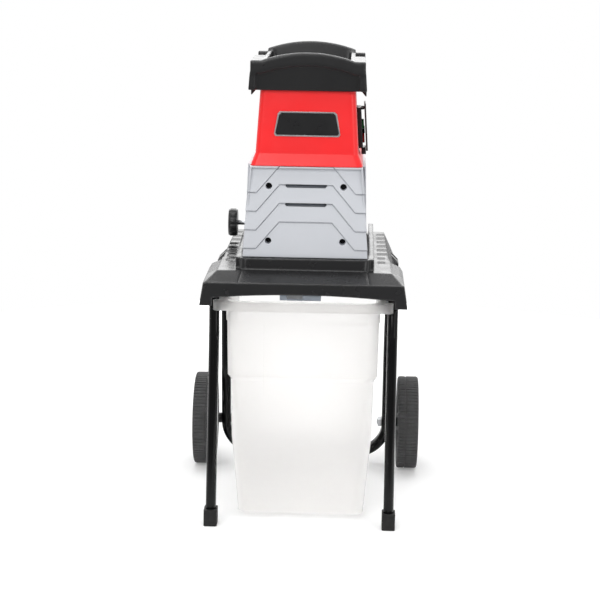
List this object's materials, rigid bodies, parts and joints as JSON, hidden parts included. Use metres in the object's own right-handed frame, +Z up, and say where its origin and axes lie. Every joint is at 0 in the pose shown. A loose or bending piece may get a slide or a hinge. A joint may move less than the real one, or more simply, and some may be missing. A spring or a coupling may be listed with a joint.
{
  "type": "garden shredder",
  "caption": "Electric roller garden shredder: hopper and red-grey tower on a black base, tube legs with wheels, and a translucent pull-out collecting box.",
  "frame": {"origin": "on the floor under the middle of the bounding box", "axes": "+X to the right seen from the front, +Y to the back where the wheels are, +Z up"},
  "size_m": [0.486, 0.549, 0.9263],
  "materials": {
    "black_plastic": "fine grain",
    "black_tube": "semi-gloss",
    "rubber": "matt",
    "zinc_steel": "zinc plated",
    "wheel_plastic": "moulded",
    "tyre": "ribbed",
    "lock_grey": "matt",
    "grey_plastic": "fine grain",
    "black_screw": "blackened",
    "red_plastic": "satin",
    "badge_black": "gloss",
    "badge_silver": "satin",
    "green_plastic": "gloss",
    "button_red": "gloss",
    "brass": "plain",
    "motor_steel": "plain",
    "cast_alloy": "cast",
    "bright_steel": "ground",
    "gear_steel": "oiled",
    "tool_steel": "hardened",
    "milky_plastic": "translucent"
  },
  "bodies": {
    "frame": {"base_platform": "black_plastic", "front_leg_left": "black_tube", "front_leg_right": "black_tube", "rear_frame": "black_tube", "foot_caps": "rubber", "wheel_bolts": "zinc_steel", "wheel_nuts": "zinc_steel", "wheel_spacers": "black_plastic", "box_rails": "zinc_steel", "interlock_body": "lock_grey", "seat_gasket": "rubber", "lower_housing": "grey_plastic", "motor_cover": "grey_plastic", "cover_screws": "black_screw", "upper_tower": "red_plastic", "badge_plate": "badge_black", "badge_border": "badge_silver", "feed_chute": "black_plastic", "hopper_collar": "black_plastic", "hopper_screws": "black_screw", "switch_body": "black_plastic", "power_inlet": "black_plastic", "inlet_pins": "brass", "motor_can": "motor_steel", "motor_shields": "cast_alloy", "motor_bearings": "bright_steel", "gearbox_case": "cast_alloy", "gearbox_cover": "cast_alloy", "layshaft_bushes": "brass", "cutting_chamber": "cast_alloy", "roller_bearings": "bright_steel"},
    "wheel_left": {"wheel_rim_left": "wheel_plastic", "tyre_left": "tyre", "wheel_cap_left": "wheel_plastic"},
    "wheel_right": {"wheel_rim_right": "wheel_plastic", "tyre_right": "tyre", "wheel_cap_right": "wheel_plastic"},
    "box": {"collecting_box": "milky_plastic"},
    "knob": {"adjuster_knob": "black_plastic", "adjuster_spindle": "zinc_steel"},
    "plate": {"pressure_plate": "cast_alloy"},
    "rotor": {"rotor_core": "motor_steel", "motor_shaft": "bright_steel", "cooling_fan": "black_plastic"},
    "lay": {"layshaft": "bright_steel", "layshaft_gear": "gear_steel"},
    "roller": {"cutting_roller": "tool_steel", "roller_shaft": "bright_steel", "output_gear": "gear_steel"},
    "start": {"start_button": "green_plastic"},
    "stop": {"stop_button": "button_red"},
    "direction": {"direction_switch": "black_plastic"},
    "lid": {"switch_lid": "black_plastic"},
    "plunger": {"interlock_plunger": "zinc_steel"}
  },
  "joints": [
    {"name": "wheel_left_spin", "type": "hinge", "parent": "frame", "child": "wheel_left", "pos_m": [-0.22, 0.1745, 0.1], "axis": [1, 0, 0], "continuous": true},
    {"name": "wheel_right_spin", "type": "hinge", "parent": "frame", "child": "wheel_right", "pos_m": [0.22, 0.1745, 0.1], "axis": [1, 0, 0], "continuous": true},
    {"name": "box_pull", "type": "slide", "parent": "frame", "child": "box", "axis": [0, -1, 0], "range_m": [0, 0.4]},
    {"name": "knob_turn", "type": "hinge", "parent": "frame", "child": "knob", "pos_m": [-0.158, 0.0845, 0.549], "axis": [1, 0, 0], "range_deg": [-361, 721]},
    {"name": "plate_slide", "type": "slide", "parent": "frame", "child": "plate", "axis": [1, 0, 0], "range_m": [-0.00175, 0.0035]},
    {"name": "motor_spin", "type": "hinge", "parent": "frame", "child": "rotor", "pos_m": [0.02092, -0.08, 0.57498], "axis": [0, 1, 0], "continuous": true},
    {"name": "layshaft_spin", "type": "hinge", "parent": "frame", "child": "lay", "pos_m": [-0.026, 0, 0.61435], "axis": [0, 1, 0], "continuous": true},
    {"name": "roller_spin", "type": "hinge", "parent": "frame", "child": "roller", "pos_m": [0.01, 0.0845, 0.552], "axis": [0, 1, 0], "continuous": true},
    {"name": "start_press", "type": "slide", "parent": "frame", "child": "start", "axis": [-0.9979, 0, -0.0649], "range_m": [0, 0.003], "stiffness_N_per_m": 300},
    {"name": "stop_press", "type": "slide", "parent": "frame", "child": "stop", "axis": [-0.9979, 0, -0.0649], "range_m": [0, 0.003], "stiffness_N_per_m": 300},
    {"name": "direction_turn", "type": "hinge", "parent": "frame", "child": "direction", "pos_m": [0.10764, -0.0155, 0.75952], "axis": [0.9979, 0, 0.0649], "range_deg": [-30, 30]},
    {"name": "lid_open", "type": "hinge", "parent": "frame", "child": "lid", "pos_m": [0.10769, -0.0335, 0.80512], "axis": [0, -1, 0], "range_deg": [0, 85]},
    {"name": "plunger_press", "type": "slide", "parent": "frame", "child": "plunger", "axis": [0, 0, 1], "range_m": [0, 0.003], "stiffness_N_per_m": 200}
  ],
  "couplings": [
    {"joint": "knob_turn", "follows": "plate_slide", "rad_per_m": 3590.4},
    {"joint": "layshaft_spin", "follows": "motor_spin", "ratio": -0.16667},
    {"joint": "roller_spin", "follows": "motor_spin", "ratio": 0.033333}
  ]
}
